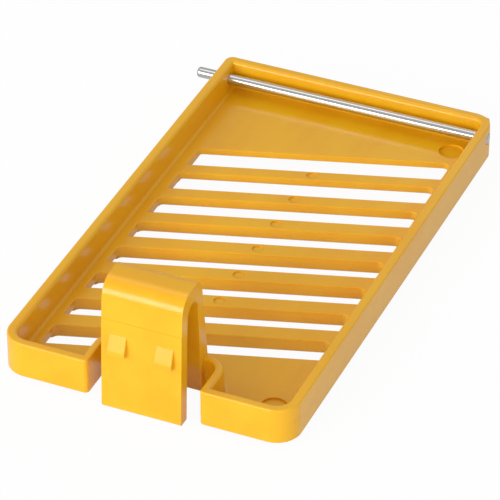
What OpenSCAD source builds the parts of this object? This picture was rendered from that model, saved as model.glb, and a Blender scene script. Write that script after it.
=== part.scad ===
// Hinged slotted flap with an integral snap latch and a steel hinge pin.
// Frame: +X across the flap, +Y towards the hinge pin, +Z up. The origin is the middle of
// the tray in plan, on the underside of its middle slat, which the flap lies on.

/* [Tray] */
// Width of the tray over its side walls
tray_w = 80; // [72:0.5:96]
// Length of the tray over its front and back walls
tray_l = 144.4; // [141:0.2:170]
// Height of the walls from their bottom edge to the rim
wall_h = 10.2; // [9.6:0.1:14]
// Wall thickness at the rim
wall_t = 2.8; // [2.2:0.1:3.2]
// Extra wall thickness at the foot of the inner face, from the mould's draft
wall_draft = 0.3; // [0.1:0.05:0.5]
// Outer radius of the two corners beside the latch
corner_r = 6.6; // [5.8:0.1:9]
// Radius of the outer corner beside the hinge pin's free end
hinge_corner_r = 2.2; // [1:0.1:2.8]
// Radius of the outer corner at the hinge pin's other end
far_corner_r = 5.6; // [4.2:0.1:6.6]
// Rounding of the rim's outer edge
rim_r = 0.5; // [0.3:0.05:0.9]
// Rounding of the rim's inner edge
rim_inner_r = 1.1; // [0.4:0.05:1.2]
// Rounding of the walls' bottom edge
foot_r = 0.3; // [0.2:0.05:0.8]
// Fillet between the walls and the floor
floor_fillet = 0.9; // [0.5:0.1:1.8]

/* [Floor and slats] */
// Height of the floor's top above the walls' bottom edge
floor_rise = 2.6; // [2.2:0.1:3]
// Thickness of the floor plate
floor_t = 1.8; // [1.4:0.1:2.1]
// Number of slots
slot_count = 8; // [6:1:8]
// Distance from slot to slot, square to them
slot_pitch = 12; // [10.5:0.1:12.3]
// Width of the shallowest slat, square to it
slat_w = 4.1; // [3:0.05:5]
// Width that a slat gains with each millimetre that it is deeper than the shallowest
slat_w_gain = 0.5; // [0:0.05:0.6]
// Slant of the slots against the tray's width, in degrees
slot_angle = 17.3; // [12:0.1:18]
// Distance from the tray's front face to the slot beside the latch, on the tray's middle line
slot_start = 22.4; // [22:0.1:23.6]
// Width of the rail between the side wall's foot and the end of the slot beside the hinge pin
rail_w = 3.8; // [3:0.1:5]
// Width that the rails lose from the hinge pin to the latch, where the slots are longer
rail_taper = 1.2; // [0:0.1:1.4]
// Radius of a slot's two corners towards the hinge pin
slot_r = 1.8; // [0.8:0.1:2.4]
// Radius of a slot's two corners towards the latch
slot_front_r = 0.4; // [0.2:0.1:0.8]
// How far the deep slats reach below the walls' bottom edge
slat_drop = 1.5; // [1.2:0.1:3]
// Depth of the shallowest slat, the one nearest the hinge pin
first_slat_depth = 2.5; // [1.8:0.1:3]
// Depth gained from slat to slat until the full depth is reached
slat_depth_step = 0.55; // [0.4:0.05:1.5]

/* [Recess] */
// Width of the recess in the front wall
recess_w = 30.5; // [28:0.5:34]
// Depth of the recess behind the tray's front face
recess_d = 13; // [12.4:0.1:15]
// Thickness of the recess's walls
recess_t = 2.3; // [2:0.1:2.8]
// Inside radius of the recess's deep corners
recess_r = 4.2; // [2.5:0.1:5]
// Outer radius of the two corners at the recess's mouth
mouth_r = 1.2; // [1:0.1:2]

/* [Latch] */
// Height of the latch's crown above the walls' bottom edge
latch_h = 35.6; // [31:0.2:38]
// Width of the latch
latch_w = 21.8; // [18:0.2:23]
// Thickness of the tongue
tongue_t = 3.5; // [2.8:0.1:4]
// Thickness of the crown
crown_t = 4.3; // [3.6:0.1:4.6]
// Thickness of the post under the crown
post_t = 3; // [2.6:0.1:3.6]
// Backward slope of the tongue's lower part, in degrees
tongue_lean = 2.4; // [1.5:0.1:3.5]
// Backward slope of the tongue's upper part, in degrees
tongue_top_lean = 5.6; // [4:0.1:7]
// Height above the walls' bottom edge at which the tongue's slope changes
tongue_kink_z = 25.2; // [24:0.1:26]
// Forward slope of the post's front face, in degrees
post_lean = 3.6; // [2:0.1:5]
// Forward slope of the post's rear face, in degrees
post_back_lean = 7.4; // [5:0.1:8]
// How far the tongue's lower end stands in front of the front wall
tongue_proud = 1.3; // [0.6:0.1:2]
// How far the tongue reaches below the walls' bottom edge
tongue_drop = 1.4; // [0.4:0.1:1.5]
// Chamfer of the tongue's lower front edge
tongue_chamfer = 0.5; // [0.3:0.1:1]
// Outer radius of the bend from the tongue to the crown
bend_r = 4.6; // [4:0.1:5]
// Outer radius of the crown's rear edge
crown_back_r = 3.2; // [1.8:0.1:3.4]
// Width of a snap ramp
ramp_w = 4.9; // [3.5:0.1:5.6]
// Height of a snap ramp
ramp_h = 5.6; // [4:0.1:6.4]
// Height of the upright land at a ramp's lower end
ramp_land = 1.3; // [0.6:0.1:1.6]
// How far a snap ramp stands out at its land
ramp_proud = 1.5; // [0.6:0.05:1.8]
// Height of the ramps' lower ends above the walls' bottom edge
ramp_z = 15.6; // [12:0.1:17]
// Distance between the two ramps' middles
ramp_gap = 12.7; // [9:0.1:12.9]
// Radius of the round seat on which the tongue turns in the crown
knuckle_r = 2.8; // [2.4:0.1:3.2]
// Gap in the round seat between the tongue and the crown
knuckle_gap = 0.05; // [0.03:0.01:0.1]

/* [Hinge pin] */
// Pin diameter
pin_d = 3; // [2.5:0.1:3.6]
// Radial clearance of the pin in the side walls' bores
pin_clearance = 0.05; // [0.02:0.01:0.1]
// Distance from the tray's back face to the pin's axis
pin_inset = 5.9; // [5.6:0.1:8]
// Height of the pin's axis above the walls' bottom edge
pin_z = 6.5; // [5.6:0.1:7]
// Free length of the pin beyond the left wall
pin_free = 6.7; // [4:0.1:12]
// Length of the pin beyond the right wall
pin_stub = 0.3; // [0.1:0.1:1]
// Rounding of the pin's ends
pin_end_r = 0.8; // [0.3:0.1:1.2]

/* [Hidden] */
$fn = 64;
plastic = [0.97, 0.71, 0.16];
steel = [0.78, 0.79, 0.80];
// Length that cuts run past a face
over = 2;
// Flats in a slot's rounded corner
arc_steps = 6;
// Overlap of a slat's beam with the slots beside it
slat_lap = 0.4;

half_w = tray_w / 2;
half_l = tray_l / 2;
foot_t = wall_t + wall_draft;
// Height of the walls' bottom edge and of the floor above the surface the flap lies on
foot_z = slat_drop;
floor_z = foot_z + floor_rise;

// Slots: step along Y and width along Y of the slanted pattern
slot_step = slot_pitch / cos(slot_angle);
slot_open = (slot_pitch - slat_w) / cos(slot_angle);

// Latch profile, in Y from the tray's front face and in Z from the walls' bottom edge
tongue_low_y = -tongue_proud;
tongue_kink_y = tongue_low_y + (tongue_kink_z + tongue_drop) * tan(tongue_lean);
tongue_top_y = tongue_kink_y + (latch_h - tongue_kink_z) * tan(tongue_top_lean);
arch_z = latch_h - crown_t;
arch_front_y = tongue_top_y - crown_t * tan(tongue_top_lean) + tongue_t;
post_foot_y = recess_d + recess_t;
crown_back_y = post_foot_y - latch_h * tan(post_back_lean) + wall_h * tan(post_back_lean);
arch_back_y = crown_back_y + crown_t * tan(post_back_lean) - post_t;
arch_r = (arch_back_y - arch_front_y) / 2;
arch_mid_y = (arch_front_y + arch_back_y) / 2;
knuckle_y = arch_mid_y;
knuckle_z = latch_h - crown_t / 2;
// The post starts level with the floor plate's underside
post_low_z = floor_rise - floor_t;

pin_y = half_l - pin_inset;
pin_axis_z = foot_z + pin_z;
pin_r = pin_d / 2;

perimeter_wall();
slatted_floor();
latch_post();
latch_tongue();
hinge_pin();

// Cross-section of a wall: X from its outer face inwards, Y up from its bottom edge
module wall_section(thick) {
    thick_foot = thick + wall_draft;
    cove_z = floor_rise + floor_fillet;
    union() {
        polygon([
            [0, foot_r], [foot_r, 0], [thick_foot, 0], [thick_foot, floor_rise],
            [thick, wall_h - rim_inner_r], [thick - rim_inner_r, wall_h],
            [rim_r, wall_h], [0, wall_h - rim_r]
        ]);
        translate([foot_r, foot_r]) circle(foot_r);
        translate([rim_r, wall_h - rim_r]) circle(rim_r);
        translate([thick - rim_inner_r, wall_h - rim_inner_r]) circle(rim_inner_r);
        difference() {
            translate([thick, floor_rise]) square([floor_fillet + wall_draft, floor_fillet]);
            translate([thick_foot + floor_fillet, cove_z]) circle(floor_fillet);
        }
    }
}

// Straight wall of a given length along +Y, its outer face on X = 0 and its inside to +X
module wall_run(length, thick) {
    rotate([90, 0, 0]) mirror([0, 0, 1]) linear_extrude(length) wall_section(thick);
}

// Outward corner: quarter turn of the wall round the Z axis, its outer face at a radius
module wall_corner(radius, thick) {
    rotate([0, 0, 180]) rotate_extrude(angle = 90) intersection() {
        translate([radius, 0]) mirror([1, 0]) wall_section(thick);
        translate([0, -over]) square([radius + over, wall_h + 2 * over]);
    }
}

// Inward corner of the recess: the outer face is the smaller radius
module recess_corner() {
    rotate_extrude(angle = 90) translate([recess_r, 0]) wall_section(recess_t);
}

// One half of the wall ring, x > 0, with a given radius of its corner beside the hinge pin
module half_ring(hinge_r) {
    side_run = tray_l - corner_r - hinge_r;
    translate([half_w, half_l - hinge_r, 0]) rotate([0, 0, 180]) wall_run(side_run, wall_t);
    translate([half_w - hinge_r, half_l - hinge_r, 0]) rotate([0, 0, 180])
        wall_corner(hinge_r, wall_t);
    translate([half_w - corner_r, corner_r - half_l, 0]) rotate([0, 0, 90])
        wall_corner(corner_r, wall_t);
    translate([0, half_l, 0]) rotate([0, 0, -90]) wall_run(half_w - hinge_r, wall_t);
    // front wall from the corner to the recess's mouth
    translate([half_w - corner_r, -half_l, 0]) rotate([0, 0, 90])
        wall_run(half_w - corner_r - recess_w / 2 - mouth_r, wall_t);
    translate([recess_w / 2 + mouth_r, mouth_r - half_l, 0]) wall_corner(mouth_r, wall_t);
    // recess wall, its outer face towards the recess
    translate([recess_w / 2, mouth_r - half_l, 0])
        wall_run(recess_d - recess_r - mouth_r, recess_t);
    translate([recess_w / 2 - recess_r, recess_d - recess_r - half_l, 0]) recess_corner();
    translate([0, recess_d - half_l, 0]) rotate([0, 0, 90]) mirror([0, 1, 0])
        wall_run(recess_w / 2 - recess_r, recess_t);
}

module perimeter_wall() {
    color(plastic) difference() {
        translate([0, 0, foot_z]) {
            half_ring(far_corner_r);
            mirror([1, 0, 0]) half_ring(hinge_corner_r);
        }
        // the post of the latch takes the place of the recess's rear wall
        translate([-latch_w / 2, recess_d - recess_r - half_l, 0])
            cube([latch_w, recess_r + recess_t + floor_fillet + over, wall_h + foot_z + over]);
        translate([0, pin_y, pin_axis_z]) rotate([0, 90, 0])
            cylinder(r = pin_r + pin_clearance, h = tray_w + 2 * over, center = true);
    }
}

// Rounded rectangle in plan, centred
module plan(width, length, radius) {
    union() {
        square([width, length - 2 * radius], center = true);
        square([width - 2 * radius, length], center = true);
        for (x = [-1, 1], y = [-1, 1])
            translate([x * (width / 2 - radius), y * (length / 2 - radius)]) circle(radius);
    }
}

// Plan of the floor: all that lies inside the feet of the walls
module floor_plan() {
    wall_out = recess_t + wall_draft;
    inside_w = tray_w - 2 * foot_t;
    inside_l = tray_l - 2 * foot_t;
    difference() {
        union() {
            plan(inside_w, inside_l, corner_r - foot_t);
            // square corner inside the tighter of the two corners beside the hinge pin
            translate([-inside_w / 2, 0]) square([inside_w / 2, inside_l / 2]);
            intersection() {
                plan(inside_w, inside_l, far_corner_r - foot_t);
                square([inside_w / 2, inside_l / 2]);
            }
        }
        translate([0, -half_l]) {
            square([recess_w + 2 * wall_out, 2 * (recess_d - recess_r)], center = true);
            square([recess_w - 2 * recess_r, 2 * (recess_d + wall_out)], center = true);
            for (side = [-1, 1])
                translate([side * (recess_w / 2 - recess_r), recess_d - recess_r])
                    circle(recess_r + wall_out);
        }
    }
}

// Point with a given X on the slanted line that crosses x = 0 at y
function slanted(x, y) = [x, y + x * tan(slot_angle)];

// Plane piece that a convex corner loses when it is rounded: the corner, the directions of
// its two edges as seen from it, and the radius
module corner_loss(corner, edge_a, edge_b, radius) {
    opening = acos(edge_a * edge_b);
    middle = (edge_a + edge_b) / norm(edge_a + edge_b);
    touch = radius / tan(opening / 2);
    center = corner + middle * radius / sin(opening / 2);
    touch_a = corner + edge_a * touch;
    touch_b = corner + edge_b * touch;
    difference() {
        polygon([
            touch_a, 2 * touch_a - center, corner - middle * 2 * radius, 2 * touch_b - center, touch_b
        ]);
        translate(center) circle(radius);
    }
}

// Points of an arc, from one angle to another
function arc(center, radius, start, end) =
    [for (k = [0 : arc_steps]) let (a = start + (end - start) * k / arc_steps)
        center + radius * [cos(a), sin(a)]];

// Slot with a given number, counted from the hinge pin, in plan
module slot_plan(i) {
    // distance from a corner to where its rounding touches, for the wide and the narrow angle
    wide = tan(45 - slot_angle / 2);
    narrow = tan(45 + slot_angle / 2);
    front = slot_front(i);
    rear = slot_y(i) + slot_open;
    right = half_w - foot_t - rail_w + rail_taper * i / (slot_count - 1);
    left = -right;
    polygon(concat(
        arc(slanted(left, front) + slot_front_r * [1, narrow], slot_front_r, 180, 270 + slot_angle),
        arc(slanted(right, front) + slot_front_r * [-1, wide], slot_front_r, 270 + slot_angle, 360),
        arc(slanted(right, rear) - slot_r * [1, narrow], slot_r, 0, 90 + slot_angle),
        arc(slanted(left, rear) + slot_r * [1, -wide], slot_r, 90 + slot_angle, 180)
    ));
}

// Place in Y at which the edge towards the latch of the slot with a given number crosses x = 0,
// if the slat before it had the shallowest slat's width
function slot_y(i) = slot_start - half_l + (slot_count - 1 - i) * slot_step;

// Depth of the slat with a given number, measured from the floor's top
function slat_depth(i) = min(floor_rise + slat_drop, first_slat_depth + i * slat_depth_step);

// The same place with the slat's real width. The last slot ends on the tray's floor.
function slot_front(i) = slot_y(i) + (i == slot_count - 1 ? 0
    : slat_w_gain * (slat_depth(i) - first_slat_depth) / cos(slot_angle));

// Beam of the slat below the slot with a given number, from side wall to side wall. It laps
// over both slots beside it, which then cut its flanks and its ends' corners.
module slat_beam(i) {
    y = slot_front(i) + slat_lap;
    y_low = slot_y(i) + slot_open - slot_step - slat_lap;
    reach = half_w - foot_t;
    translate([0, 0, floor_z - slat_depth(i)]) linear_extrude(slat_depth(i))
        polygon([
            slanted(-reach, y_low), slanted(reach, y_low), slanted(reach, y), slanted(-reach, y)
        ]);
}

// Rails that carry the slats' ends, down to the walls' bottom edge
module rails() {
    translate([0, 0, foot_z]) linear_extrude(floor_rise) intersection() {
        floor_plan();
        for (side = [-1, 1])
            translate([side * (half_w - foot_t - rail_w / 2), 0])
                square([rail_w, tray_l - 2 * corner_r], center = true);
    }
}

module slatted_floor() {
    color(plastic) difference() {
        union() {
            translate([0, 0, floor_z - floor_t]) linear_extrude(floor_t) floor_plan();
            rails();
            for (i = [0 : slot_count - 2]) slat_beam(i);
        }
        for (i = [0 : slot_count - 1])
            translate([0, 0, -over]) linear_extrude(floor_z + 2 * over) slot_plan(i);
    }
}

// Side view of the whole latch without its cavity: X is the depth, Y is the height
module latch_outline() {
    front_top = [tongue_top_y, latch_h];
    back_top = [crown_back_y, latch_h];
    difference() {
        polygon([
            [tongue_low_y + tongue_chamfer, -tongue_drop],
            [tongue_low_y + tongue_chamfer * tan(tongue_lean), tongue_chamfer - tongue_drop],
            [tongue_kink_y, tongue_kink_z], front_top, back_top,
            [post_foot_y, wall_h], [post_foot_y, post_low_z], [recess_d - recess_r, post_low_z],
            [recess_d - recess_r, -tongue_drop]
        ]);
        corner_loss(front_top, [1, 0], [-sin(tongue_top_lean), -cos(tongue_top_lean)], bend_r);
        corner_loss(back_top, [-1, 0], [sin(post_back_lean), -cos(post_back_lean)], crown_back_r);
    }
}

// Side view of the space between tongue and post, open at the bottom
module latch_cavity() {
    arch_mid = [arch_mid_y, arch_z - arch_r];
    low = -tongue_drop - over;
    inner_kink_y = tongue_kink_y + tongue_t;
    union() {
        polygon([
            arch_mid - [arch_r, 0], arch_mid + [arch_r, 0],
            [arch_back_y + (arch_mid[1] - low) * tan(post_lean), low],
            [inner_kink_y - (tongue_kink_z - low) * tan(tongue_lean), low],
            [inner_kink_y, tongue_kink_z]
        ]);
        translate(arch_mid) circle(arch_r);
    }
}

// Side view of what belongs to the tongue; a gap makes it larger
module tongue_side(gap) {
    union() {
        translate([-tongue_proud - over, -tongue_drop - over])
            square([knuckle_y + tongue_proud + over, latch_h + tongue_drop + 2 * over]);
        translate([knuckle_y, knuckle_z]) circle(knuckle_r + gap);
    }
}

// Side view to solid, as wide as the latch and placed on the tray
module across(width) {
    translate([-width / 2, -half_l, foot_z]) rotate([90, 0, 90]) linear_extrude(width) children();
}

// Whole latch as a solid
module latch() {
    across(latch_w) difference() {
        latch_outline();
        latch_cavity();
    }
}

// Snap ramp in side view, on the tongue's lower face
module ramp_side() {
    low_y = tongue_low_y + (ramp_z + tongue_drop) * tan(tongue_lean);
    high_y = low_y + ramp_h * tan(tongue_lean);
    polygon([
        [low_y + over / 2, ramp_z], [low_y - ramp_proud, ramp_z],
        [low_y - ramp_proud, ramp_z + ramp_land], [high_y, ramp_z + ramp_h],
        [high_y + over / 2, ramp_z + ramp_h]
    ]);
}

module latch_post() {
    color(plastic) difference() {
        latch();
        across(latch_w + 2 * over) tongue_side(knuckle_gap);
    }
}

module latch_tongue() {
    color(plastic) union() {
        intersection() {
            latch();
            across(latch_w + 2 * over) tongue_side(0);
        }
        for (side = [-1, 1])
            translate([side * ramp_gap / 2, 0, 0]) across(ramp_w) ramp_side();
    }
}

module hinge_pin() {
    length = tray_w + pin_free + pin_stub;
    color(steel) translate([-half_w - pin_free, pin_y, pin_axis_z]) rotate([90, 0, 90])
        rotate_extrude() union() {
            square([pin_r - pin_end_r, length]);
            translate([0, pin_end_r]) square([pin_r, length - 2 * pin_end_r]);
            for (z = [pin_end_r, length - pin_end_r])
                intersection() {
                    translate([pin_r - pin_end_r, z]) circle(pin_end_r);
                    square([pin_r, length]);
                }
        }
}
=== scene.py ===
"""Studio scene of a hinged slotted flap with a snap latch and a steel hinge pin.

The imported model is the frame: +X across the flap, +Y towards the hinge pin, +Z up, with the
deep slats lying on z = 0. Sizes are in millimetres and become metres when a piece is finished.
"""

from __future__ import annotations

import logging
import math
from collections.abc import Callable, Iterable
from dataclasses import dataclass, field
from enum import Enum

import bmesh
import bpy
from mathutils import Matrix, Vector

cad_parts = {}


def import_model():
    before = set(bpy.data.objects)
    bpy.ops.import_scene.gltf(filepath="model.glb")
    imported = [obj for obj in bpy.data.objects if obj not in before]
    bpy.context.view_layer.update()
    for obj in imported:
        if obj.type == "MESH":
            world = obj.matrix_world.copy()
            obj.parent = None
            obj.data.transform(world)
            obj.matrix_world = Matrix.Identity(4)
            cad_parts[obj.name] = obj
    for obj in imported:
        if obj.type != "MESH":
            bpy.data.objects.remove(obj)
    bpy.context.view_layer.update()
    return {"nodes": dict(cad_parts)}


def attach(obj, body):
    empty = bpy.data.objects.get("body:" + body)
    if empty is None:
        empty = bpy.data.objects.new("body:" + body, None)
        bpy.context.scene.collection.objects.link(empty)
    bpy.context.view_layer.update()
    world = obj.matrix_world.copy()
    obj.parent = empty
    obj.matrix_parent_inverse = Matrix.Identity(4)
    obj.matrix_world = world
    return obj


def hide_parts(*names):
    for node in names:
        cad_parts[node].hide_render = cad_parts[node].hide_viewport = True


log = logging.getLogger("flap")

MM = 0.001
# how close two heights or places in millimetres have to be to count as the same
SAME = 0.01
# mesh steps in millimetres
MERGE = 0.002
CUT_TOLERANCE = 0.0001

Colour = tuple[float, float, float]
Point = tuple[float, float, float]


class Body(str, Enum):
    """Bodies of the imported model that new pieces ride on."""

    FLAP = "flap"
    TONGUE = "tongue"


class Slot(str, Enum):
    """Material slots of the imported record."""

    MOULDING = "moulding"


class Wire:
    """A socket that sums can be written on; each sum adds its Math node."""

    def __init__(self, graph: Graph, socket: bpy.types.NodeSocket) -> None:
        """Keeps the graph and the socket.

        Args:
            graph: the graph that new nodes go to.
            socket: the output that the wire comes from.
        """
        self.graph = graph
        self.socket = socket

    def _math(self, operation: str, first: Wire | float, second: Wire | float) -> Wire:
        """Adds a Math node.

        Args:
            operation: the Math node's operation.
            first: the first value.
            second: the second value.

        Returns:
            The node's result.
        """
        return self.graph.add(
            "ShaderNodeMath", {"operation": operation}, {0: first, 1: second}
        )

    def __add__(self, other: Wire | float) -> Wire:
        """Sum."""
        return self._math("ADD", self, other)

    def __radd__(self, other: float) -> Wire:
        """Sum with a number on the left."""
        return self._math("ADD", other, self)

    def __sub__(self, other: Wire | float) -> Wire:
        """Difference."""
        return self._math("SUBTRACT", self, other)

    def __mul__(self, other: Wire | float) -> Wire:
        """Product."""
        return self._math("MULTIPLY", self, other)


class Graph:
    """Node tree of one material or of the world."""

    def __init__(self, tree: bpy.types.NodeTree) -> None:
        """Empties the tree.

        Args:
            tree: the tree to build in.
        """
        self.tree = tree
        tree.nodes.clear()

    def node(
        self,
        kind: str,
        settings: dict[str, object] | None = None,
        inputs: dict[str | int, object] | None = None,
    ) -> bpy.types.Node:
        """Adds a node.

        Args:
            kind: the node's type.
            settings: the node's own settings, set first.
            inputs: values or wires by socket name or number.

        Returns:
            The node.
        """
        made = self.tree.nodes.new(kind)
        for name, value in (settings or {}).items():
            setattr(made, name, value)
        for name, value in (inputs or {}).items():
            if isinstance(value, Wire):
                self.tree.links.new(value.socket, made.inputs[name])
            else:
                made.inputs[name].default_value = value
        return made

    def add(
        self,
        kind: str,
        settings: dict[str, object] | None = None,
        inputs: dict[str | int, object] | None = None,
        output: str | int = 0,
    ) -> Wire:
        """Adds a node and gives one of its outputs as a wire.

        Args:
            kind: the node's type.
            settings: the node's own settings, set first.
            inputs: values or wires by socket name or number.
            output: the output's name or number.

        Returns:
            The wire from that output.
        """
        return Wire(self, self.node(kind, settings, inputs).outputs[output])

    def blend(self, amount: Wire | float, low: object, high: object) -> Wire:
        """Mixes two colours.

        Args:
            amount: 0 for the low colour, 1 for the high one.
            low: a colour or a wire.
            high: a colour or a wire.

        Returns:
            The mixed colour.
        """
        mix = self.node("ShaderNodeMix", {"data_type": "RGBA"})
        for number, value in ((0, amount), (6, low), (7, high)):
            if isinstance(value, Wire):
                self.tree.links.new(value.socket, mix.inputs[number])
            elif number == 0:
                mix.inputs[number].default_value = value
            else:
                mix.inputs[number].default_value = (*value, 1.0)
        return Wire(self, mix.outputs[2])

    def spread(self, value: Wire, low: float, high: float) -> Wire:
        """Stretches a value from a range to 0 to 1, clamped, with soft ends.

        Args:
            value: the value.
            low: what becomes 0.
            high: what becomes 1.

        Returns:
            The stretched value.
        """
        return self.add(
            "ShaderNodeMapRange",
            {"interpolation_type": "SMOOTHSTEP"},
            {"Value": value, "From Min": low, "From Max": high},
        )

    def place(self, scale: Point = (1.0, 1.0, 1.0)) -> Wire:
        """Object coordinates in millimetres, scaled.

        Args:
            scale: scale along each axis, applied to millimetres.

        Returns:
            The coordinates.
        """
        where = self.add("ShaderNodeTexCoord", output="Object")
        per_mm = tuple(value / MM for value in scale)
        return self.add("ShaderNodeMapping", inputs={"Vector": where, "Scale": per_mm})

    def noise(self, where: Wire, scale: float, detail: float = 2.0) -> Wire:
        """Noise texture.

        Args:
            where: coordinates.
            scale: the pattern's scale.
            detail: how many finer layers it has.

        Returns:
            The noise, from 0 to 1.
        """
        return self.add(
            "ShaderNodeTexNoise",
            inputs={"Vector": where, "Scale": scale, "Detail": detail},
            output="Fac",
        )


@dataclass(frozen=True)
class GlossPlastic:
    """Glossy injection moulding with faint flow marks and sink.

    Attributes:
        name: the material's name.
        tint: the plastic's usual colour.
        deep_tint: the colour where the pigment lies thicker.
        roughness: the skin's mean roughness.
        roughness_swing: how far the roughness strays from its mean.
        sink_depth: height of the soft waves in the skin, in millimetres.
        grain_depth: height of the fine orange peel, in millimetres.
        flow_stretch: scale of the flow marks along each axis. The melt runs from the latch to
            the pin, so they are long in Y.
        flow_scale: how close the flow marks lie.
        wave_scale: how close the soft waves lie.
        grain_scale: how fine the orange peel is.
        pigment_range: where in the flow marks the pigment starts and ends to thicken.
        ior: index of refraction.
    """

    name: str
    tint: Colour
    deep_tint: Colour
    roughness: float = 0.2
    roughness_swing: float = 0.05
    sink_depth: float = 0.06
    grain_depth: float = 0.004
    flow_stretch: Point = (1.0, 0.35, 1.0)
    flow_scale: float = 0.11
    wave_scale: float = 0.16
    grain_scale: float = 2.6
    pigment_range: tuple[float, float] = (0.35, 0.68)
    ior: float = 1.5

    def material(self) -> bpy.types.Material:
        """Makes the material.

        Returns:
            The material.
        """
        made = bpy.data.materials.new(self.name)
        made.use_nodes = True
        graph = Graph(made.node_tree)
        flow = graph.noise(graph.place(self.flow_stretch), self.flow_scale, detail=3.0)
        waves = graph.noise(graph.place(), self.wave_scale, detail=1.0)
        grain = graph.noise(graph.place(), self.grain_scale)
        pigment = graph.spread(flow, *self.pigment_range)
        height = waves * self.sink_depth + grain * self.grain_depth
        relief = graph.add(
            "ShaderNodeBump",
            inputs={"Strength": 1.0, "Distance": MM, "Height": height},
        )
        shader = graph.add(
            "ShaderNodeBsdfPrincipled",
            inputs={
                "Base Color": graph.blend(pigment, self.tint, self.deep_tint),
                "Roughness": self.roughness + (flow - 0.5) * (2 * self.roughness_swing),
                "IOR": self.ior,
                "Normal": relief,
            },
        )
        graph.node("ShaderNodeOutputMaterial", inputs={"Surface": shader})
        return made


@dataclass(frozen=True)
class DrawnSteel:
    """Bright drawn bar with fine lines along its length.

    Attributes:
        name: the material's name.
        tint: colour of the clean metal.
        dull_tint: colour where the bar has been handled.
        roughness: mean roughness.
        roughness_swing: how far the roughness strays from its mean.
        line_depth: height of the drawing lines, in millimetres.
        line_stretch: scale of the drawing lines along each axis, long in X.
        line_scale: how close the drawing lines lie.
        stain_stretch: scale of the stains along each axis.
        stain_scale: how close the stains lie.
    """

    name: str
    tint: Colour
    dull_tint: Colour
    roughness: float = 0.16
    roughness_swing: float = 0.05
    line_depth: float = 0.002
    line_stretch: Point = (0.02, 1.0, 1.0)
    line_scale: float = 9.0
    stain_stretch: Point = (0.3, 1.0, 1.0)
    stain_scale: float = 0.25

    def material(self) -> bpy.types.Material:
        """Makes the material.

        Returns:
            The material.
        """
        made = bpy.data.materials.new(self.name)
        made.use_nodes = True
        graph = Graph(made.node_tree)
        lines = graph.noise(graph.place(self.line_stretch), self.line_scale, detail=3.0)
        stain = graph.noise(graph.place(self.stain_stretch), self.stain_scale)
        relief = graph.add(
            "ShaderNodeBump",
            inputs={"Strength": 1.0, "Distance": MM, "Height": lines * self.line_depth},
        )
        shader = graph.add(
            "ShaderNodeBsdfPrincipled",
            inputs={
                "Base Color": graph.blend(stain, self.tint, self.dull_tint),
                "Metallic": 1.0,
                "Roughness": self.roughness + (stain - 0.5) * (2 * self.roughness_swing),
                "Normal": relief,
            },
        )
        graph.node("ShaderNodeOutputMaterial", inputs={"Surface": shader})
        return made


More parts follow.
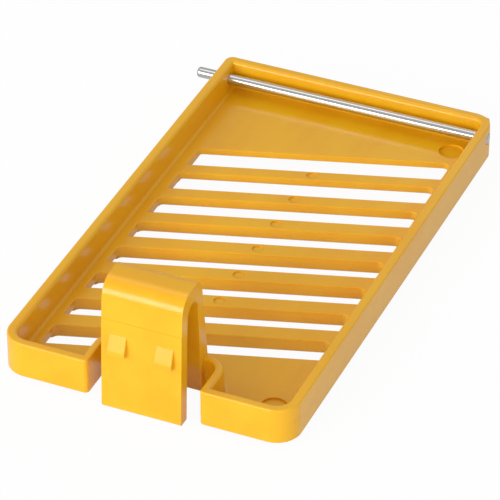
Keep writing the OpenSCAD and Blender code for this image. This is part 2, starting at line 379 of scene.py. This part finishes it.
class Piece:
    """A piece under construction, in millimetres."""

    def __init__(self, name: str) -> None:
        """Starts an empty mesh.

        Args:
            name: the piece's name.
        """
        self.name = name
        self.bm = bmesh.new()

    def carry(self, node: bpy.types.Object) -> None:
        """Takes over a merged copy of a CAD node's mesh.

        Args:
            node: the CAD node, which stays as it is.
        """
        self.bm.from_mesh(node.data)
        bmesh.ops.scale(self.bm, vec=(1 / MM, 1 / MM, 1 / MM), verts=self.bm.verts)
        bmesh.ops.remove_doubles(self.bm, verts=self.bm.verts, dist=MERGE)

    def outline(self, points: Iterable[Point]) -> bmesh.types.BMFace:
        """Adds a flat face from its corners.

        Args:
            points: the corners in order.

        Returns:
            The face.
        """
        return self.bm.faces.new([self.bm.verts.new(point) for point in points])

    def round_corners(self, verts: list[bmesh.types.BMVert], radius: float, steps: int) -> None:
        """Rounds corners of a flat face.

        Args:
            verts: the corners.
            radius: distance from a corner to where its rounding starts.
            steps: flats in each rounding.
        """
        bmesh.ops.bevel(
            self.bm, geom=verts, offset=radius, offset_type="OFFSET", affect="VERTICES",
            segments=steps, profile=0.5, material=-1,
        )

    def round_edges(
        self, edges: list[bmesh.types.BMEdge], radius: float, steps: int, clamp: bool = True
    ) -> None:
        """Rounds edges of a solid.

        Args:
            edges: the edges.
            radius: width of the rounding.
            steps: flats in the rounding.
            clamp: True where roundings could meet and have to stop short.
        """
        bmesh.ops.bevel(
            self.bm, geom=edges, offset=radius, offset_type="OFFSET", affect="EDGES",
            segments=steps, profile=0.5, material=-1, clamp_overlap=clamp,
        )

    def pull(self, faces: list[bmesh.types.BMFace], way: Point) -> None:
        """Extrudes faces into a solid.

        Args:
            faces: the faces.
            way: how far, along each axis.
        """
        made = bmesh.ops.extrude_face_region(self.bm, geom=faces, use_keep_orig=True)
        moved = [part for part in made["geom"] if isinstance(part, bmesh.types.BMVert)]
        bmesh.ops.translate(self.bm, vec=way, verts=moved)

    def edges_where(
        self, test: Callable[[bmesh.types.BMEdge], bool]
    ) -> list[bmesh.types.BMEdge]:
        """Picks edges.

        Args:
            test: says whether an edge is wanted.

        Returns:
            The wanted edges.
        """
        return [edge for edge in self.bm.edges if test(edge)]

    def sink(self, mark: Mark, level: float) -> None:
        """Sinks a round mark into a level face.

        Args:
            mark: the mark.
            level: height of the face.
        """
        bm = self.bm
        reach = mark.radius + mark.margin

        def near(face: bmesh.types.BMFace) -> bool:
            """Says whether a face is level and comes near the mark."""
            spots = [vert.co for vert in face.verts]
            return (
                all(abs(spot.z - level) < SAME / 10 for spot in spots)
                and min(spot.x for spot in spots) < mark.x + reach
                and max(spot.x for spot in spots) > mark.x - reach
                and min(spot.y for spot in spots) < mark.y + reach
                and max(spot.y for spot in spots) > mark.y - reach
            )

        for x, y in ((1.0, 0.0), (-1.0, 0.0), (0.0, 1.0), (0.0, -1.0)):
            faces = [face for face in bm.faces if near(face)]
            parts = {part for face in faces for part in (*face.edges, *face.verts)}
            bmesh.ops.bisect_plane(
                bm, geom=[*faces, *parts], dist=CUT_TOLERANCE, plane_no=(x, y, 0.0),
                plane_co=(mark.x + x * reach, mark.y + y * reach, level),
            )
        away = Vector((mark.x, mark.y, level))
        patch = {
            face for face in bm.faces
            if near(face) and max(map(abs, face.calc_center_bounds() - away)) < reach
        }
        rim = [
            edge for edge in bm.edges
            if sum(face in patch for face in edge.link_faces) == 1
        ]
        bmesh.ops.delete(bm, geom=list(patch), context="FACES_KEEP_BOUNDARY")
        made = bmesh.ops.create_circle(
            bm, cap_ends=False, radius=mark.radius, segments=mark.segments,
            matrix=Matrix.Translation(away),
        )
        ring = list({edge for vert in made["verts"] for edge in vert.link_edges})
        bmesh.ops.triangle_fill(bm, edges=rim + ring, normal=(0.0, 0.0, 1.0))
        wall = bmesh.ops.extrude_edge_only(bm, edges=ring)["geom"]
        low = [part for part in wall if isinstance(part, bmesh.types.BMVert)]
        bmesh.ops.translate(bm, vec=(0.0, 0.0, -mark.depth), verts=low)
        bottom = [part for part in wall if isinstance(part, bmesh.types.BMEdge)]
        bmesh.ops.holes_fill(bm, edges=[edge for edge in bottom if edge.is_boundary], sides=0)

    def finish(
        self,
        material: bpy.types.Material,
        body: Body,
        slot: Slot,
        replaced: tuple[str, ...] = (),
        crease: float = 32.0,
    ) -> bpy.types.Object:
        """Turns the mesh into an object of the scene.

        Args:
            material: the piece's material.
            body: the body that it rides on.
            slot: not used.
            replaced: CAD nodes that it stands for.
            crease: angle in degrees above which an edge stays sharp.

        Returns:
            The object.
        """
        bmesh.ops.remove_doubles(self.bm, verts=self.bm.verts, dist=MERGE / 4)
        bmesh.ops.recalc_face_normals(self.bm, faces=self.bm.faces)
        bmesh.ops.scale(self.bm, vec=(MM, MM, MM), verts=self.bm.verts)
        mesh = bpy.data.meshes.new(self.name)
        self.bm.to_mesh(mesh)
        self.bm.free()
        # normals carried over from the CAD node don't fit the new faces
        carried = mesh.attributes.get("custom_normal")
        if carried:
            mesh.attributes.remove(carried)
        mesh.shade_smooth()
        mesh.set_sharp_from_angle(angle=math.radians(crease))
        mesh.materials.append(material)
        made = bpy.data.objects.new(self.name, mesh)
        bpy.context.scene.collection.objects.link(made)
        # flat faces stay flat beside their roundings
        flats = made.modifiers.new("weighted_normals", "WEIGHTED_NORMAL")
        flats.keep_sharp = True
        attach(made, body.value)
        if replaced:
            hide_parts(*replaced)
        log.info("%s: %d faces", self.name, len(mesh.polygons))
        return made


@dataclass(frozen=True)
class Mark:
    """Round mark that an ejector pin left in a level face.

    Attributes:
        x: place of its middle.
        y: place of its middle.
        radius: its radius.
        depth: how far it lies below the face.
        margin: width of the flat strip kept round it.
        segments: flats round it.
    """

    x: float
    y: float
    radius: float
    depth: float
    margin: float = 0.3
    segments: int = 32


@dataclass
class RearCorner:
    """Flat cut at the walls' right rear corner, which flattens a part of its rounding.

    Attributes:
        centre: centre of the rounding in plan.
        radius: radius of the rounding.
        flats: directions in degrees that the flats face, beside the round rest.
        skin: distance from the centre beyond which the walls' outer skin lies.
        column: angle in radians within which vertices lie above each other.
    """

    centre: tuple[float, float] = (34.4, 66.6)
    radius: float = 5.6
    flats: tuple[float, ...] = (70.0, 23.4, 0.0)
    skin: float = 4.3
    column: float = 0.02

    def _reach(self, angle: float) -> float:
        """Distance from the centre to the corner's outline in a direction, in radians."""
        flats = [math.radians(flat) for flat in self.flats]
        if angle > flats[0]:
            return self.radius
        return min(self.radius / math.cos(angle - flat) for flat in flats)

    def shape(self, bm: bmesh.types.BMesh) -> None:
        """Moves the corner's outer skin onto the outline with the cut.

        Args:
            bm: the walls' mesh.
        """
        centre = Vector((*self.centre, 0.0))
        angles: dict[bmesh.types.BMVert, float] = {}
        for vert in bm.verts:
            away = (vert.co - centre).xy
            if min(away) > -MERGE and away.length > self.skin:
                angles[vert] = math.atan2(away.y, away.x)
        # two flats meet halfway between the directions that they face
        for first, second in zip(self.flats, self.flats[1:]):
            goal = math.radians(first + second) / 2
            nearest = min(angles.values(), key=lambda angle: abs(angle - goal))
            for vert, angle in angles.items():
                if abs(angle - nearest) < self.column:
                    angles[vert] = goal
        for vert, angle in angles.items():
            length = (vert.co - centre).xy.length + self._reach(angle) - self.radius
            vert.co.x = centre.x + length * math.cos(angle)
            vert.co.y = centre.y + length * math.sin(angle)


@dataclass
class Tray:
    """Shallow tray with a slotted floor.

    Attributes:
        foot_z: height of the walls' bottom edge.
        floor_z: height of the floor's top.
        inside_x: distance from the middle to a side wall's foot.
        clear: how far from a side wall's foot an edge has to lie to be a rim.
        slot_edge: rounding of the slots' upper edges.
        slat_edge: rounding of the slats' lower edges.
        edge_steps: flats in each of these roundings.
        plate_z: height of the floor plate's underside.
        marks: ejector marks in the floor and the slats.
        flat_angle: angle in degrees up to which neighbouring faces count as one flat.
        upright: largest upward part of an upright face's normal.
        level: smallest upward part of a level face's normal.
    """

    foot_z: float = 1.5
    floor_z: float = 4.1
    inside_x: float = 36.9
    clear: float = 1.0
    slot_edge: float = 0.35
    slat_edge: float = 0.9
    edge_steps: int = 4
    plate_z: float = 2.3
    marks: list[Mark] = field(default_factory=list)
    flat_angle: float = 0.3
    upright: float = 0.1
    level: float = 0.9

    def walls(
        self, node: bpy.types.Object, corner: RearCorner, material: bpy.types.Material
    ) -> bpy.types.Object:
        """Walls with the cut corner, on the carried-over solid.

        Args:
            node: the carried-over walls.
            corner: the cut corner.
            material: the plastic.

        Returns:
            The walls.
        """
        piece = Piece("perimeter_wall_moulding")
        piece.carry(node)
        corner.shape(piece.bm)
        return piece.finish(material, Body.FLAP, Slot.MOULDING, ("perimeter_wall",))

    def floor(self, node: bpy.types.Object, material: bpy.types.Material) -> bpy.types.Object:
        """Slotted floor with rounded slot and slat edges, on the carried-over solid.

        Args:
            node: the carried-over floor.
            material: the plastic.

        Returns:
            The floor.
        """
        piece = Piece("slotted_floor_moulding")
        piece.carry(node)
        bm = piece.bm
        # the flat faces' triangles become one face each
        flat = math.radians(self.flat_angle)
        bmesh.ops.dissolve_limit(bm, angle_limit=flat, verts=bm.verts, edges=bm.edges)
        for rim, radius in ((self._slot_rim, self.slot_edge), (self._slat_rim, self.slat_edge)):
            piece.round_edges(piece.edges_where(rim), radius, self.edge_steps, clamp=False)
            bm.normal_update()
        for mark in self.marks:
            piece.sink(mark, self.floor_z)
        return piece.finish(material, Body.FLAP, Slot.MOULDING, ("slatted_floor",))

    def _is_rim(self, edge: bmesh.types.BMEdge, side: int) -> bool:
        """Says whether an edge lies inside the walls between an upright and a level face.

        Args:
            edge: the edge.
            side: 1 where the level face looks up, -1 where it looks down.

        Returns:
            True on such an edge that sticks out.
        """
        inside = all(abs(vert.co.x) < self.inside_x - self.clear for vert in edge.verts)
        if not inside or len(edge.link_faces) != 2:
            return False
        upright, level = sorted((face.normal.z for face in edge.link_faces), key=abs)
        return (
            abs(upright) < self.upright
            and level * side > self.level
            and edge.calc_face_angle_signed() > 0
        )

    def _slot_rim(self, edge: bmesh.types.BMEdge) -> bool:
        """Says whether an edge is the upper edge of a slot."""
        on_floor = all(abs(vert.co.z - self.floor_z) < SAME for vert in edge.verts)
        return on_floor and self._is_rim(edge, 1)

    def _slat_rim(self, edge: bmesh.types.BMEdge) -> bool:
        """Says whether an edge is a slat's lower edge along a slot."""
        first, second = (vert.co.z for vert in edge.verts)
        below_plate = abs(first - second) < SAME and first < self.plate_z - 0.1
        return below_plate and abs(first - self.foot_z) >= SAME and self._is_rim(edge, -1)


@dataclass
class Latch:
    """U-shaped snap latch at the front edge: tongue, crown and post.

    Side-view points are (Y from the tray's front face, Z from the walls' bottom edge).

    Attributes:
        front_y: place of the tray's front face.
        foot_z: height of the walls' bottom edge.
        width: width of the latch.
        height: height of the crown's top.
        edge: rounding of the side edges.
        tongue_low: lower front corner of the tongue.
        kink: where the tongue's front face changes its slope.
        tongue_top_y: where the front face would meet the crown's top.
        tongue_t: thickness of the tongue.
        crown_t: thickness of the crown.
        crown_back_y: where the post's rear face would meet the crown's top.
        post_foot: rear foot of the post.
        post_low_z: lower end of the post.
        arch_y: front and rear of the arch between tongue and post.
        post_lean: slant of the post's front face, in degrees.
        tongue_lean: slant of the tongue's lower part, in degrees.
        bend: radius of the bend from tongue to crown.
        back_bend: radius of the bend from crown to post.
        chamfer: slant of the tongue's lower front edge.
        ledge: height of the mould's parting step across the tongue, at the kink.
        bend_steps: flats in the front bend and in each corner of the arch.
        back_bend_steps: flats in the rear bend.
        edge_steps: flats in the rounding of the side edges.
        knuckle_segments: flats round the tongue's round end.
    """

    front_y: float = -72.2
    foot_z: float = 1.5
    width: float = 21.8
    height: float = 35.6
    edge: float = 0.7
    tongue_low: tuple[float, float] = (-1.3, -1.4)
    kink: tuple[float, float] = (-0.185, 25.2)
    tongue_top_y: float = 0.835
    tongue_t: float = 3.5
    crown_t: float = 4.3
    crown_back_y: float = 12.0
    post_foot: tuple[float, float] = (15.3, 10.2)
    post_low_z: float = 0.8
    arch_y: tuple[float, float] = (3.913, 9.56)
    post_lean: float = 3.6
    tongue_lean: float = 2.4
    bend: float = 4.6
    back_bend: float = 3.2
    chamfer: float = 0.5
    ledge: float = 0.12
    bend_steps: int = 12
    back_bend_steps: int = 10
    edge_steps: int = 4
    knuckle_segments: int = 48

    def _u_shape(self, name: str) -> Piece:
        """The whole U with rounded side edges.

        Args:
            name: the piece's name.

        Returns:
            The piece.
        """
        arch_low, arch_high = self.arch_y
        arch_z = self.height - self.crown_t
        drop = arch_z - self.post_low_z
        low_z = self.tongue_low[1]
        inner_low_y = self.kink[0] + self.tongue_t - (self.kink[1] - low_z) * math.tan(
            math.radians(self.tongue_lean)
        )
        low_y = self.tongue_low[0]
        back = self.chamfer * math.tan(math.radians(self.tongue_lean))
        side = [
            (low_y + back, low_z + self.chamfer), self.kink,
            (self.kink[0] + self.ledge, self.kink[1] + self.ledge / 2),
            (self.tongue_top_y, self.height), (self.crown_back_y, self.height), self.post_foot,
            (self.post_foot[0], self.post_low_z),
            (arch_high + drop * math.tan(math.radians(self.post_lean)), self.post_low_z),
            (arch_high, arch_z), (arch_low, arch_z),
            (self.kink[0] + self.tongue_t, self.kink[1]), (inner_low_y, low_z),
            (low_y + self.chamfer, low_z),
        ]
        piece = Piece(name)
        face = piece.outline(
            (-self.width / 2, self.front_y + y, self.foot_z + z) for y, z in side
        )
        verts = list(face.verts)
        arch_r = (arch_high - arch_low) / 2
        front, rear, arch = [verts[3]], [verts[4]], [verts[8], verts[9]]
        piece.round_corners(front, self.bend, self.bend_steps)
        piece.round_corners(rear, self.back_bend, self.back_bend_steps)
        piece.round_corners(arch, arch_r - SAME, self.bend_steps)
        piece.pull(list(piece.bm.faces), (self.width, 0.0, 0.0))
        bmesh.ops.recalc_face_normals(piece.bm, faces=piece.bm.faces)
        flank = self.width / 2 - SAME

        def on_side(edge: bmesh.types.BMEdge) -> bool:
            """Says whether an edge runs round a side face."""
            xs = [vert.co.x for vert in edge.verts]
            return abs(xs[0] - xs[1]) < SAME and abs(xs[0]) > flank

        piece.round_edges(piece.edges_where(on_side), self.edge, self.edge_steps)
        return piece

    def _half(self, name: str, keep_front: bool) -> Piece:
        """Cuts the U through the middle of its crown and caps the cut.

        Args:
            name: the piece's name.
            keep_front: True for the tongue's half, False for the post's.

        Returns:
            The piece.
        """
        piece = self._u_shape(name)
        middle = self.front_y + sum(self.arch_y) / 2
        bmesh.ops.bisect_plane(
            piece.bm, geom=[*piece.bm.verts, *piece.bm.edges, *piece.bm.faces], dist=CUT_TOLERANCE,
            plane_co=(0.0, middle, 0.0), plane_no=(0.0, 1.0, 0.0),
            clear_outer=keep_front, clear_inner=not keep_front,
        )
        rim = piece.edges_where(lambda edge: edge.is_boundary)
        bmesh.ops.holes_fill(piece.bm, edges=rim, sides=0)
        return piece

    def _knuckle(self, piece: Piece) -> None:
        """Adds the round end on which the tongue turns inside the crown.

        Args:
            piece: the tongue.
        """
        middle = self.front_y + sum(self.arch_y) / 2
        radius = self.crown_t / 2 - SAME
        turn = Matrix.Rotation(math.radians(90), 4, "Y")
        centre = Matrix.Translation((0.0, middle, self.foot_z + self.height - self.crown_t / 2))
        bmesh.ops.create_cone(
            piece.bm, cap_ends=True, segments=self.knuckle_segments, radius1=radius,
            radius2=radius, depth=self.width - 2 * self.edge, matrix=centre @ turn,
        )

    def post(self, material: bpy.types.Material) -> bpy.types.Object:
        """Post and rear half of the crown.

        Args:
            material: the plastic.

        Returns:
            The piece.
        """
        piece = self._half("latch_post_moulding", keep_front=False)
        return piece.finish(material, Body.FLAP, Slot.MOULDING, ("latch_post",))

    def tongue(self, ramps: Ramps, material: bpy.types.Material) -> bpy.types.Object:
        """Tongue, front half of the crown and the snap ramps.

        Args:
            ramps: the snap ramps.
            material: the plastic.

        Returns:
            The piece.
        """
        piece = self._half("latch_tongue_moulding", keep_front=True)
        self._knuckle(piece)
        ramps.add_to(piece, self)
        return piece.finish(material, Body.TONGUE, Slot.MOULDING, ("latch_tongue",))

    def face_y(self, height: float) -> float:
        """Place of the tongue's lower front face at a height above the walls' bottom edge."""
        lean = math.tan(math.radians(self.tongue_lean))
        return self.front_y + self.tongue_low[0] + (height - self.tongue_low[1]) * lean


@dataclass
class Ramps:
    """Two snap ramps on the tongue's front face.

    Attributes:
        gap: distance between the ramps' middles.
        width: width of a ramp.
        low_z: height of the lower ends above the walls' bottom edge.
        height: height of a ramp.
        land: height of the upright land at the lower end.
        proud: how far the land stands out.
        edge: rounding of the ramps' edges.
        edge_steps: flats in that rounding.
        clear: how far an edge stands out of the tongue's face to be rounded.
    """

    gap: float = 12.7
    width: float = 4.9
    low_z: float = 15.6
    height: float = 5.6
    land: float = 1.3
    proud: float = 1.5
    edge: float = 0.25
    edge_steps: int = 3
    clear: float = 0.3

    def add_to(self, piece: Piece, latch: Latch) -> None:
        """Adds both ramps to the tongue.

        Args:
            piece: the tongue.
            latch: the latch, for the place of its front face.
        """
        low_y = latch.face_y(self.low_z)
        high_y = latch.face_y(self.low_z + self.height)
        sunk = latch.tongue_t / 3
        side = [
            (low_y + sunk, self.low_z), (low_y - self.proud, self.low_z),
            (low_y - self.proud, self.low_z + self.land), (high_y, self.low_z + self.height),
            (high_y + sunk, self.low_z + self.height),
        ]
        for hand in (-1, 1):
            start = hand * self.gap / 2 - self.width / 2
            ramp = Piece("ramp")
            face = ramp.outline((start, y, latch.foot_z + z) for y, z in side)
            ramp.pull([face], (self.width, 0.0, 0.0))
            bmesh.ops.recalc_face_normals(ramp.bm, faces=ramp.bm.faces)
            exposed = ramp.edges_where(self._exposed(low_y))
            ramp.round_edges(exposed, self.edge, self.edge_steps)
            part = bpy.data.meshes.new("ramp")
            ramp.bm.to_mesh(part)
            ramp.bm.free()
            piece.bm.from_mesh(part)
            bpy.data.meshes.remove(part)

    def _exposed(self, face_y: float) -> Callable[[bmesh.types.BMEdge], bool]:
        """Gives a test for edges that stand out of the tongue's face.

        Args:
            face_y: place of the tongue's face.

        Returns:
            The test.
        """
        return lambda edge: min(vert.co.y for vert in edge.verts) < face_y - self.clear


@dataclass
class Studio:
    """Camera, floor, backdrop and lights.

    Attributes:
        eye: camera position in millimetres.
        view: direction in which the camera looks.
        up: the camera's upward direction.
        lens: focal length in millimetres.
        sensor: width of the camera's sensor in millimetres.
        clip: nearest and farthest distance that the camera sees, in metres.
        floor_size: side of the floor in millimetres.
        floor_drop: how far the floor lies below the flap, in millimetres.
        paper: brightness of the floor's lit paper.
        world_strength: brightness of the surroundings as a light.
        floor_white: share of plain white in the floor, the rest is lit paper.
        mirrored_world: brightness of the surroundings in reflections.
        mirrored_floor: brightness of the floor in reflections.
        lamps: the lamps.
    """

    eye: Point = (304.165, -709.080, 552.691)
    view: Point = (-0.323004, 0.747606, -0.580304)
    up: Point = (-0.230158, 0.532710, 0.814400)
    lens: float = 258.44
    sensor: float = 36.0
    clip: tuple[float, float] = (0.05, 20.0)
    floor_size: float = 6000.0
    floor_drop: float = 0.05
    paper: float = 0.93
    world_strength: float = 0.6
    floor_white: float = 0.95
    mirrored_world: float = 0.55
    mirrored_floor: float = 0.65
    lamps: list[Lamp] = field(default_factory=list)

    def camera(self) -> None:
        """Places the camera and makes it the scene's own."""
        data = bpy.data.cameras.new("studio_camera")
        data.lens = self.lens
        data.sensor_width = self.sensor
        data.clip_start, data.clip_end = self.clip
        camera = bpy.data.objects.new("studio_camera", data)
        bpy.context.scene.collection.objects.link(camera)
        forward = Vector(self.view).normalized()
        up = Vector(self.up).normalized()
        right = forward.cross(up).normalized()
        turn = Matrix((right, up, -forward)).transposed().to_4x4()
        camera.matrix_world = Matrix.Translation(Vector(self.eye) * MM) @ turn
        bpy.context.scene.camera = camera

    def floor(self) -> None:
        """Pale floor that shows white to the camera and keeps a soft shadow."""
        bm = bmesh.new()
        bmesh.ops.create_grid(bm, x_segments=1, y_segments=1, size=self.floor_size / 2 * MM)
        bmesh.ops.translate(bm, vec=(0.0, 0.0, -self.floor_drop * MM), verts=bm.verts)
        mesh = bpy.data.meshes.new("studio_floor")
        bm.to_mesh(mesh)
        bm.free()
        mesh.materials.append(self._floor_paper())
        floor = bpy.data.objects.new("studio_floor", mesh)
        bpy.context.scene.collection.objects.link(floor)

    def _floor_paper(self) -> bpy.types.Material:
        """Makes the floor's paper.

        Returns:
            The material.
        """
        made = bpy.data.materials.new("studio_paper")
        made.use_nodes = True
        graph = Graph(made.node_tree)
        seen, mirrored = self._rays(graph)
        grey = (self.paper, self.paper, self.paper, 1.0)
        matt = graph.add("ShaderNodeBsdfDiffuse", inputs={"Color": grey})
        glow = graph.add(
            "ShaderNodeEmission", inputs={"Strength": seen + mirrored * self.mirrored_floor}
        )
        share = (seen + mirrored) * self.floor_white
        surface = graph.add("ShaderNodeMixShader", inputs={0: share, 1: matt, 2: glow})
        graph.node("ShaderNodeOutputMaterial", inputs={"Surface": surface})
        return made

    @staticmethod
    def _rays(graph: Graph) -> tuple[Wire, Wire]:
        """Tells the rays that show the background.

        Args:
            graph: the graph that it is for.

        Returns:
            1 for rays that show it plainly, and 1 for rays that show it as a reflection.
        """
        path = graph.node("ShaderNodeLightPath")
        camera, glossy, through = (
            Wire(graph, path.outputs[f"Is {kind} Ray"])
            for kind in ("Camera", "Glossy", "Transmission")
        )
        seen = graph.add("ShaderNodeClamp", inputs={"Value": camera + through})
        return seen, graph.add("ShaderNodeClamp", inputs={"Value": glossy - through})

    def backdrop(self) -> None:
        """World that is white to the camera and lights the object softly."""
        world = bpy.data.worlds.new("studio_world")
        bpy.context.scene.world = world
        world.use_nodes = True
        graph = Graph(world.node_tree)
        seen, mirrored = self._rays(graph)
        strength = (
            mirrored * (self.mirrored_world - self.world_strength)
            + seen * (1.0 - self.world_strength)
            + self.world_strength
        )
        light = graph.add(
            "ShaderNodeBackground", inputs={"Color": (1.0, 1.0, 1.0, 1.0), "Strength": strength}
        )
        graph.node("ShaderNodeOutputWorld", inputs={"Surface": light})

    def build(self) -> None:
        """Builds the whole studio."""
        self.camera()
        self.floor()
        self.backdrop()
        for lamp in self.lamps:
            lamp.build()
        bpy.context.scene.view_settings.view_transform = "Standard"
        log.info("studio: %d lamps", len(self.lamps))


@dataclass(frozen=True)
class Lamp:
    """Soft rectangular lamp aimed at the middle of the flap.

    Attributes:
        name: the lamp's name.
        place: where it hangs, in millimetres.
        size: its width and height in millimetres.
        power: its power in watts.
        target: the point that it faces, in millimetres.
    """

    name: str
    place: Point
    size: tuple[float, float]
    power: float
    target: Point = (0.0, 0.0, 10.0)

    def build(self) -> None:
        """Adds the lamp to the scene."""
        data = bpy.data.lights.new(self.name, "AREA")
        data.shape = "RECTANGLE"
        data.size, data.size_y = (side * MM for side in self.size)
        data.energy = self.power
        lamp = bpy.data.objects.new(self.name, data)
        bpy.context.scene.collection.objects.link(lamp)
        way = Vector(self.target) - Vector(self.place)
        turn = way.to_track_quat("-Z", "Y").to_matrix().to_4x4()
        lamp.matrix_world = Matrix.Translation(Vector(self.place) * MM) @ turn


PLASTIC = GlossPlastic("yellow_moulding", (0.86, 0.447, 0.010), (0.84, 0.41, 0.007))
STEEL = DrawnSteel("drawn_steel", (0.70, 0.695, 0.68), (0.58, 0.575, 0.56))
LAMPS = [
    Lamp("front_key", (-250.0, -1100.0, 350.0), (700.0, 500.0), 6.0),
    Lamp("left_key", (-900.0, -800.0, 500.0), (700.0, 700.0), 4.6),
    Lamp("right_fill", (700.0, -900.0, 400.0), (700.0, 700.0), 2.0),
    Lamp("rear_fill", (0.0, 1100.0, 600.0), (700.0, 700.0), 0.5),
    Lamp("top_box", (-314.0, 215.0, 900.0), (600.0, 215.0), 0.45),
]
SLAT_MARKS = [
    Mark(0.5, y, radius=1.6, depth=0.35) for y in (36.2, 23.8, 11.3, -1.1, -13.7, -26.2)
]
MARKS = [
    Mark(31.0, 62.3, radius=3.5, depth=0.6), Mark(30.75, -61.2, radius=3.5, depth=0.6),
    *SLAT_MARKS,
]


def main() -> None:
    """Builds the scene in order."""
    logging.basicConfig(level=logging.INFO, format="%(name)s: %(message)s")
    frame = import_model()
    nodes = frame["nodes"]
    Studio(lamps=LAMPS).build()
    plastic = PLASTIC.material()
    steel = STEEL.material()
    nodes["hinge_pin"].data.materials.clear()
    nodes["hinge_pin"].data.materials.append(steel)
    log.info("hinge_pin: carried over")
    tray = Tray(marks=MARKS)
    tray.walls(nodes["perimeter_wall"], RearCorner(), plastic)
    tray.floor(nodes["slatted_floor"], plastic)
    latch = Latch()
    latch.post(plastic)
    latch.tongue(Ramps(), plastic)


if __name__ == "__main__":
    main()
